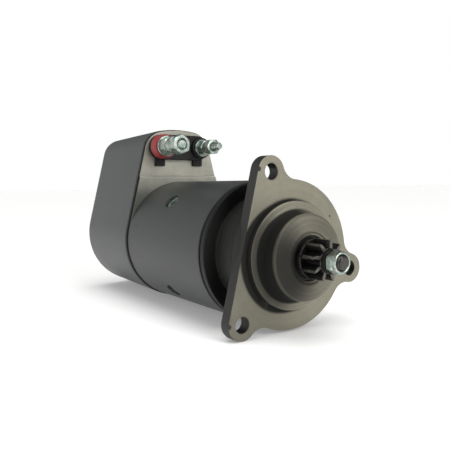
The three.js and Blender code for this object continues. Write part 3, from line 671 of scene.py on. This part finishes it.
def drive_end_housing():
    housing, bush = Extent("drive_end_housing"), Extent("nose_bush")
    neck_front = -FLANGE_THICKNESS - 1.5
    body = turned([
        (NECK_BORE, housing.back), (SPIGOT_RADIUS, housing.back, 0.8), (SPIGOT_RADIUS, RIM_BACK),
        (63, RIM_BACK, 0.5), (63, RIM_FRONT, 0.9), (NECK_RADIUS, RIM_FRONT, 0.3),
        (NECK_RADIUS + 1.3, neck_front, 1), (NECK_RADIUS + 3, neck_front + 2.5),
        (PILOT_RADIUS, -1), (PILOT_RADIUS, PILOT_HEIGHT, 0.8), (NOSE_RADIUS, PILOT_HEIGHT, 5),
        (NOSE_RADIUS, 22.7, 2.6), (NOSE_LIP + 2.2, housing.front, 0.5),
        (NOSE_LIP + 0.5, housing.front - 0.6, 0.2), (NOSE_LIP, housing.front - 1.5, 0.2),
        (SEAL_SEAT, housing.front - 1.7, 0.3), (SEAL_SEAT, bush.front + 0.3),
        (NOSE_BORE, bush.front + 0.3), (NOSE_BORE, -10), (NECK_BORE - 6, -10, 3), (NECK_BORE, -16, 1),
    ], 128)
    plate = drawn_out(flange_outline(), -FLANGE_THICKNESS, 0)
    bevelled(plate, rim(plate, 0), 0.5)
    bevelled(plate, rim(plate, -FLANGE_THICKNESS), 0.9)
    opening = rod(NECK_BORE - 2, -FLANGE_THICKNESS - 1, 1, 0.1, 96)
    holes = [
        swung(shifted(drill(BOLT_HOLE, -FLANGE_THICKNESS, 0), y=BOLT_CIRCLE), angle)
        for angle in LOBE_ANGLES
    ]
    casting = joined(cut(plate, opening, *holes), body)
    finished(
        "drive_end_casting", casting, "housing", "cast_housing", CASTING, "drive_end_housing")


def shaft_seal():
    seal = Extent("shaft_seal")
    outer, lip, back, front = seal.radius, 13.3, seal.back, seal.front
    body = turned([
        (lip + 1.6, back), (outer, back, 0.4), (outer, front, 0.5), (outer - 2, front, 0.5),
        (outer - 2.6, front - 1, 0.3), (lip + 1.2, front - 0.9, 0.4), (lip, front - 0.9, 0.2),
        (lip + 0.9, front - 2.4, 0.3),
    ])
    finished("shaft_lip_seal", body, "housing", "black_rubber", RUBBER, "shaft_seal")


# ---- Pole housing ----


def pole_housing():
    tube = Extent("pole_housing")
    outer = tube.radius
    body = turned([
        (POLE_BORE, tube.back, 0.6), (outer, tube.back, 0.5), (outer, tube.front, 0.9),
        (POLE_BORE, tube.front, 0.6),
    ], 160)
    seats = [outward(pole_screw_seat(), POLE_SCREW_PLACE, angle) for angle in POLE_ANGLES]
    finished("pole_tube", cut(body, *seats), "housing", "grey_paint", GREY_PAINT, "pole_housing")


def pole_screw_seat():
    """What is cut out of the tube for a countersunk screw, with the mouth chamfered."""
    narrow, wide, top = POLE_SCREW_SHANK + 0.5, POLE_SCREW_HEAD + 0.5, POLE_SCREW_TOP - 0.5
    return turned([
        (0, 50), (narrow, 50), (narrow, top - POLE_SCREW_CONE), (wide, top), (wide, 62.5),
        (wide + 2, 64.5), (wide + 2, 70), (0, 70),
    ], 64)


def pole_screw(angle, number):
    """A countersunk screw with a hexagon socket."""
    top = POLE_SCREW_TOP
    cone_top = top - 0.4
    head = turned([
        (0, POLE_SCREW_BOTTOM), (POLE_SCREW_SHANK, POLE_SCREW_BOTTOM, 0.5),
        (POLE_SCREW_SHANK, cone_top - POLE_SCREW_CONE),
        (POLE_SCREW_HEAD, cone_top, 0.15), (POLE_SCREW_HEAD, top, 0.25), (0, top),
    ], 64)
    socket = drawn_out(hexagon(SOCKET_FLATS, 0), top - SOCKET_DEPTH, top + 1)
    mouth = turned([(0, top - 0.5), (3.2, top - 0.5), (4.2, top + 0.5), (0, top + 0.5)], 48)
    body = cut(cut(head, socket), mouth)
    finished(
        f"socket_pole_screw_{number}", outward(body, POLE_SCREW_PLACE, angle), "housing",
        "zinc_steel", ZINC, f"pole_screw_{number}")


# ---- Commutator end bracket, gasket and rear cover ----


def drop_outline(inset=0):
    """A round lower part, straight leaning sides, rounded corners and a broad arc on top."""
    radius, top, corner = DROP_RADIUS - inset, DROP_TOP - inset, DROP_CORNER - inset
    along = math.sqrt((top - corner) ** 2 - (radius - corner) ** 2)
    across_y, across_z = polar(radius - corner, DROP_TILT)
    along_y, along_z = polar(along, DROP_TILT + 90)
    y, z = across_y + along_y, across_z + along_z
    lean = math.degrees(math.atan2(z, y))
    return [
        *arc((0, 0), radius, 180 - DROP_TILT, 360 + DROP_TILT, 90),
        *arc((y, z), corner, DROP_TILT, lean, 12),
        *arc((0, 0), top, lean, 180 - lean, 20)[1:-1],
        *arc((-y, z), corner, 180 - lean, 180 - DROP_TILT, 12),
    ]


def commutator_end_bracket():
    plate = Extent("commutator_end_bracket")
    insulator, cover = Extent("terminal_insulator"), Extent("rear_cover")
    back = cover.front + 2.5
    pad = insulator.back - 0.1
    body = drawn_out(drop_outline(BRACKET_INSET), back, plate.front)
    bevelled(body, rim(body, plate.front), 0.4)
    above_step = block((pad, plate.front + 5), (-90, 90), (STEP_HEIGHT, 140))
    corner = swung(block((-0.6, 0.6), (-90, 90), (-0.6, 0.6)), 45, "Y")
    shifted(corner, x=plate.front, z=STEP_HEIGHT)
    rib = drawn_out(drop_outline(8), back - 5, back + 0.5)
    hub = rod(19, plate.back, back, 0.6)
    bores = [
        shifted(drill(8, back - 6, pad, 0.4), y=y, z=z)
        for y, z in (Extent("positive_stud").middle, Extent("negative_stud").middle)
    ]
    screws = [
        shifted(rod(3.3, back - 9, pad - 0.5), z=Extent(f"cover_screw_{i}").middle[1]) for i in (1, 2)
    ]
    seat = rod(14, plate.back - 1, plate.front + 1)
    stepped = cut(cut(body, above_step), corner)
    finished(
        "end_bracket_plate", cut(joined(stepped, rib, hub), seat, *bores, *screws), "housing",
        "bare_bracket", BRACKET, "commutator_end_bracket")


def cover_gasket():
    gasket = Extent("cover_gasket")
    band = drawn_out(drop_outline(0.4), gasket.back, gasket.front)
    bevelled(band, rim(band, gasket.back) + rim(band, gasket.front), 0.5)
    window = drawn_out(drop_outline(6), gasket.back - 1, gasket.front + 1)
    finished("cover_gasket_strip", cut(band, window), "housing", "black_rubber", RUBBER, "cover_gasket")


def draft_sides(bm, front, back):
    """Leans the cover's sides inwards towards its back."""
    for vertex in bm.verts:
        inset = COVER_DRAFT * (front - vertex.co.x) / (front - back)
        height = vertex.co.z - COVER_MIDDLE
        vertex.co.y *= 1 - inset / DROP_RADIUS
        vertex.co.z = COVER_MIDDLE + height * (1 - inset / (DROP_TOP - COVER_MIDDLE))


def rear_cover():
    cover = Extent("rear_cover")
    body = drawn_out(drop_outline(), cover.back, cover.front)
    bevelled(body, rim(body, cover.back), COVER_EDGE, 12)
    draft_sides(body, cover.front, cover.back)
    front = [face for face in body.faces if all(abs(v.co.x - cover.front) < TINY for v in face.verts)]
    bmesh.ops.delete(body, geom=front, context="FACES")
    bmesh.ops.solidify(body, geom=body.faces[:], thickness=COVER_WALL)
    bevelled(closed(body), rim(body, cover.front), 1.2, 3)
    holes = [
        shifted(rod(3.4, cover.back - 1, cover.back + 9), z=Extent(f"cover_screw_{i}").middle[1])
        for i in (1, 2)
    ]
    finished("rear_cap", cut(body, *holes), "housing", "grey_paint", GREY_PAINT, "rear_cover")


def cover_screw(number):
    screw, cover = Extent(f"cover_screw_{number}"), Extent("rear_cover")
    seat = cover.back - 0.1
    head = nut(10, 0.1, screw.back, seat - 1.5, 30)
    washer = rod(7, seat - 1.7, seat, 0.3)
    shank = rod(3, seat - 1, screw.front, 0.3, 32)
    dish = turned([
        (0, screw.back - 1), (3, screw.back - 1), (2.4, screw.back + 0.7), (0, screw.back + 0.7),
    ], 32)
    body = joined(joined(cut(head, dish), washer), shank)
    finished(
        f"hexagon_cover_screw_{number}", shifted(body, z=screw.middle[1]), "housing",
        "zinc_steel", ZINC, f"cover_screw_{number}")


# ---- Terminals ----


def terminal_insulator():
    block_extent = Extent("terminal_insulator")
    positive, negative = Extent("positive_stud").middle, Extent("negative_stud").middle
    radius, back, front = 13.5, block_extent.back, block_extent.front
    left, right = block_extent.left + radius, block_extent.right - radius
    outline = [
        *arc((left, positive[1]), radius, 90, 270, 28),
        *arc((right, negative[1]), radius, -90, 90, 28),
    ]
    body = drawn_out(outline, back, front)
    bevelled(body, rim(body, front), 0.9, 3)
    half_tab = 5.8
    tabs = []
    for middle in (positive[0] + 0.8, negative[0] - 0.7):
        across, up = (middle - half_tab, middle + half_tab), (block_extent.low, positive[1])
        tab = block((back, back + 3), across, up)
        tabs.append(bevelled(tab, tab.edges[:], 0.4))
    bores = [shifted(drill(7.4, back, front), y=y, z=z) for y, z in (positive, negative)]
    finished(
        "terminal_block", cut(joined(body, *tabs), *bores), "housing", "black_insulation",
        BLACK_INSULATION, "terminal_insulator")


def terminal(name, flats, turn, inner_turn, collar_finish, collar_slot, foot):
    """A stud with its collar, washer, inner nut, spring washer and outer nut."""
    parts = ("stud", "collar", "washer", "inner_nut", "spring_washer", "outer_nut")
    stud, collar, washer, inner_nut, spring, outer = (Extent(f"{name}_{part}") for part in parts)
    y, z = stud.middle
    hole = stud.radius + 0.2
    shapes = {
        "stud": threaded_stud(stud, inner_nut.back - 1),
        "collar": terminal_collar(hole, collar),
        "washer": ring(hole, washer.radius, washer.back, washer.front, 0.5),
        "inner_nut": nut(flats, hole, inner_nut.back, inner_nut.front, inner_turn),
        "spring_washer": split_washer(hole, flats / 2 - 0.5, spring.back, spring.front),
        "outer_nut": outer_nut(flats, hole, outer.back, outer.front, turn, foot),
    }
    for part, shape in shapes.items():
        slot, finish = (collar_slot, collar_finish) if part == "collar" else ("zinc_steel", ZINC)
        finished(
            f"{name}_terminal_{part}", shifted(shape, y=y, z=z), "housing", slot, finish,
            f"{name}_{part}")


def threaded_stud(stud, thread_back):
    root = stud.radius - 0.55
    core = turned([
        (0, stud.back), (stud.radius, stud.back, 0.6), (stud.radius, thread_back - 2),
        (root, thread_back - 1), (root, stud.front, 0.8), (0, stud.front),
    ], 48)
    return gathered(core, thread(root, stud.radius, THREAD_PITCH, thread_back - 1, stud.front - 0.4))


def terminal_collar(hole, collar):
    """A sleeve through the bracket with a wide collar outside it."""
    sleeve = 7.1
    shoulder = Extent("terminal_insulator").front + 0.1
    return turned([
        (hole, collar.back), (sleeve, collar.back, 0.4), (sleeve, shoulder),
        (collar.radius, shoulder, 0.5), (collar.radius, collar.front, 0.9), (hole, collar.front),
    ], 80)


def split_washer(inner, outer, back, front):
    """A spring washer: one open turn whose ends stand apart."""
    bm = bmesh.new()
    rise = (front - back) * 0.2
    thickness = front - back - rise
    section = ((inner, 0), (outer, 0), (outer, thickness), (inner, thickness))
    bm.faces.new([bm.verts.new((back + x, 0, radius)) for radius, x in section])
    spin(bm, math.radians(346), 72, rise=rise)
    closed(bm)
    corners = [edge for edge in bm.edges if edge.calc_face_angle(0) > math.radians(60)]
    return bevelled(bm, corners, 0.25)


def outer_nut(flats, hole, back, front, turn, foot):
    """A nut that may stand on a round foot with a groove above it."""
    if not foot:
        return nut(flats, hole, back, front, turn)
    hexagon_part = nut(flats, hole, back + foot, front, turn, 0.9, 1.2)
    base = turned([
        (hole, back, 0.3), (flats / 2 + 0.2, back, 0.6), (flats / 2 + 0.2, back + foot / 2, 0.8),
        (flats / 2 - 0.9, back + foot / 2, 0.6), (flats / 2 - 0.9, back + foot + 1),
        (hole, back + foot + 1),
    ], 80)
    return joined(hexagon_part, base)


# ---- Pinion, nut and spindle ----


def tooth_outline():
    """Full teeth whose flanks lean in from root to tip, with the tips' corners rounded."""
    step = 360 / TEETH
    points = []
    for i in range(TEETH):
        middle = TOOTH_PHASE + i * step
        flank = ((TOOTH_ROOT, 14.4), (TOOTH_ROOT + 0.7, 12.3), (12.2, 11), (TOOTH_PITCH, 9.7),
                 (15, 7.2), (16, 5), (16.4, 4.2), (TOOTH_TIP, 3.2))
        points += [polar(radius, middle - half) for radius, half in flank]
        points += [polar(TOOTH_TIP, middle)]
        points += [polar(radius, middle + half) for radius, half in reversed(flank)]
    return points


def tooth_bevel(angle):
    """What is bevelled off the front corner of one flank of a tooth."""
    corner = block((0, 2.1), (TOOTH_ROOT - 0.8, TOOTH_TIP + 2), (-1, 4.6))
    return swung(shifted(swung(corner, -TOOTH_BEVEL, "Y"), x=PINION_FRONT, z=0.3), angle)


def pinion():
    gear = Extent("pinion")
    collar_front = gear.back + 3.2
    teeth = drawn_out(tooth_outline(), collar_front - 1, PINION_FRONT)
    bevelled(teeth, rim(teeth, PINION_FRONT), 0.3, 2)
    bevels = [tooth_bevel(TOOTH_PHASE + i * 360 / TEETH) for i in range(TEETH)]
    collar = rod(TOOTH_TIP, gear.back, collar_front, 0.6, 96)
    hub = rod(10, PINION_FRONT - 2, gear.front, 0.4)
    body = cut(joined(cut(teeth, *bevels), collar, hub), drill(8, gear.back, gear.front))
    finished("pinion_gear", body, "drive", "dark_steel", BLACKED, "pinion")


def pinion_nut():
    """A self-locking nut: a domed hexagon, a round collar at its front, and an insert inside."""
    extent = Extent("pinion_nut")
    back, front = extent.back, extent.front
    flats, hole, collar_radius, crown = 17, 5.8, 8.7, front - 2.4
    prism = drawn_out(hexagon(flats, 30), back, crown)
    corner = flats / 2 / math.cos(math.pi / 6)
    blank = turned([
        (0, back), (flats / 2 - 0.2, back), (corner + 0.1, back + 1.1), (corner + 0.1, crown - 3, 2.4),
        (collar_radius - 0.4, crown + 0.2, 0.8), (0, crown + 0.2),
    ])
    collar = turned([
        (hole, crown - 1), (collar_radius, crown - 1), (collar_radius, front, 1.1),
        (collar_radius - 1.7, front, 0.5), (hole, front - 1.6),
    ])
    body = joined(cut(kept(prism, blank), drill(hole, back, crown, 0.6)), collar)
    finished("pinion_lock_nut", body, "drive", "zinc_steel", ZINC, "pinion_nut")
    insert = ring(hole - 0.1, 6.7, front - 2.6, front - 0.7, 0.2)
    finished("lock_nut_insert", insert, "drive", "black_insulation", BLACK_INSULATION)


def drive_spindle():
    spindle, gear, lock = Extent("drive_spindle"), Extent("pinion"), Extent("pinion_nut")
    journal, tail, seat, root = 13, 8.2, 7.7, 4.95
    core = turned([
        (0, spindle.back), (tail, spindle.back, 0.8), (tail, -18), (journal, -18, 0.8),
        (journal, gear.back - 0.3, 0.6), (seat, gear.back - 0.3), (seat, gear.front - 0.6, 0.3),
        (root, gear.front - 0.6), (root, spindle.front, 0.7), (0, spindle.front),
    ])
    splines = [
        swung(block((spindle.back, -17), (7, 10), (-1.2, 1.2)), 36 * i) for i in range(10)
    ]
    ridge = thread(root, 5.5, THREAD_PITCH, lock.back, spindle.front - 0.4)
    finished(
        "splined_spindle", gathered(core, *splines, ridge), "drive", "dark_steel", DARK_STEEL,
        "drive_spindle")


# ---- What stays as it was cut, inside the motor ----

INNER_FINISHES = {
    "nose_bush": BRONZE, "pole_shoe": STEEL, "field_coil": COPPER, "armature_shaft": STEEL,
    "armature_core": STEEL, "armature_winding": COPPER, "commutator": COPPER, "brush_holder": BRONZE,
    "brush_spring": STEEL, "brush": CARBON, "commutator_end_bearing": BRONZE, "clutch_drum": STEEL,
    "solenoid_case": DARK_STEEL, "solenoid_coil": COPPER, "solenoid_plunger": STEEL,
    "engaging_rod": STEEL, "return_spring": STEEL, "contact_bridge": COPPER,
    "control_relay": DARK_STEEL, "relay_plunger": STEEL,
}


def dress_inner_nodes():
    """Each inner CAD node takes the finish of the longest name here that its own starts with."""
    for name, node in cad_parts.items():
        fitting = [start for start in INNER_FINISHES if name.startswith(start)]
        if not fitting:
            continue
        for slot in node.material_slots:
            slot.material = INNER_FINISHES[max(fitting, key=len)]


# ---- Floor, light and camera ----


def floor_and_light():
    floor_height = -66
    bm = bmesh.new()
    bmesh.ops.create_grid(bm, x_segments=8, y_segments=8, size=12 * MILLIMETRES)
    shifted(bm, z=floor_height)
    bmesh.ops.scale(bm, vec=Vector((1, 1, 1)) / MILLIMETRES, verts=bm.verts)
    floor = bpy.data.objects.new("floor", mesh_of(bm))
    bpy.context.scene.collection.objects.link(floor)
    r = Recipe("pale_floor")
    floor.data.materials.append(r.finish(
        Base_Color=r.blend(r.noise(400), shade(236, 236, 235), shade(240, 240, 239)), Roughness=0.8,
        Emission_Color=shade(255, 255, 255), Emission_Strength=0.2))
    studio_world()
    soft_light("front", (1.05, 0.18, 0.6), 0.8, 10.5)
    overhead = bpy.data.lights.new("overhead", "SUN")
    overhead.energy = 2.2
    overhead.angle = math.radians(60)
    lamp = bpy.data.objects.new("overhead", overhead)
    lamp.visible_glossy = False
    bpy.context.scene.collection.objects.link(lamp)


def studio_world():
    """White behind the motor, with one broad bright side to light it and a dim ceiling."""
    world = bpy.data.worlds.new("studio")
    world.use_nodes = True
    tree = world.node_tree

    def node(kind, **settings):
        made = tree.nodes.new(kind)
        for name, value in settings.items():
            setattr(made, name, value)
        return made

    direction = node("ShaderNodeTexCoord").outputs["Generated"]
    aimed = node("ShaderNodeVectorMath", operation="DOT_PRODUCT")
    aimed.inputs[1].default_value = (-0.25, -0.97, 0)
    bright = node("ShaderNodeMapRange", interpolation_type="SMOOTHSTEP")
    for name, value in (("From Min", -0.2), ("From Max", 0.9), ("To Min", 0.22), ("To Max", 1)):
        bright.inputs[name].default_value = value
    height = node("ShaderNodeSeparateXYZ")
    ceiling = node("ShaderNodeMapRange", interpolation_type="SMOOTHSTEP")
    for name, value in (("From Min", 0.1), ("From Max", 0.7), ("To Min", 1), ("To Max", 0.5)):
        ceiling.inputs[name].default_value = value
    strength = node("ShaderNodeMath", operation="MULTIPLY")
    seen = node("ShaderNodeLightPath").outputs["Is Camera Ray"]
    shown = node("ShaderNodeMath", operation="MAXIMUM")
    background = tree.nodes["Background"]
    background.inputs["Color"].default_value = (1, 1, 1, 1)
    for start, end in (
        (direction, aimed.inputs[0]), (aimed.outputs["Value"], bright.inputs["Value"]),
        (direction, height.inputs[0]), (height.outputs["Z"], ceiling.inputs["Value"]),
        (bright.outputs["Result"], strength.inputs[0]), (ceiling.outputs["Result"], strength.inputs[1]),
        (strength.outputs["Value"], shown.inputs[0]), (seen, shown.inputs[1]),
        (shown.outputs["Value"], background.inputs["Strength"]),
    ):
        tree.links.new(start, end)
    bpy.context.scene.world = world


def soft_light(name, place, size, power):
    light = bpy.data.lights.new(name, "AREA")
    light.size = size
    light.energy = power
    lamp = bpy.data.objects.new(name, light)
    lamp.location = place
    middle = Vector((-0.1, 0, 0.02))
    lamp.rotation_mode = "QUATERNION"
    lamp.rotation_quaternion = (middle - lamp.location).to_track_quat("-Z", "Y")
    bpy.context.scene.collection.objects.link(lamp)


def add_camera():
    """From the pinion's side, a little above the axis."""
    aim = Vector((-80, -12.69, 21.61)) / MILLIMETRES
    distance = 522.1 / MILLIMETRES
    swing, lift, roll = (math.radians(a) for a in (34.04, 4.37, -0.67))
    back = Vector((math.cos(lift) * math.cos(swing), -math.cos(lift) * math.sin(swing), math.sin(lift)))
    camera = bpy.data.objects.new("camera", bpy.data.cameras.new("camera"))
    camera.data.lens = 44.08
    camera.data.clip_start = 0.01
    camera.location = aim + back * distance
    camera.rotation_mode = "QUATERNION"
    camera.rotation_quaternion = (-back).to_track_quat("-Z", "Y") @ Quaternion((0, 0, 1), roll)
    bpy.context.scene.collection.objects.link(camera)
    bpy.context.scene.camera = camera


add_camera()
drive_end_housing()
shaft_seal()
pole_housing()
for screw_number, screw_angle in enumerate(POLE_ANGLES, 1):
    pole_screw(screw_angle, screw_number)
commutator_end_bracket()
cover_gasket()
rear_cover()
cover_screw(1)
cover_screw(2)
terminal_insulator()
terminal("positive", 18, 25, 21, RED_INSULATION, "red_insulation", 8)
terminal("negative", 15, 2, -2, BLACK_INSULATION, "black_insulation", 0)
pinion()
pinion_nut()
drive_spindle()
dress_inner_nodes()
floor_and_light()
bpy.context.scene.view_settings.view_transform = "Standard"
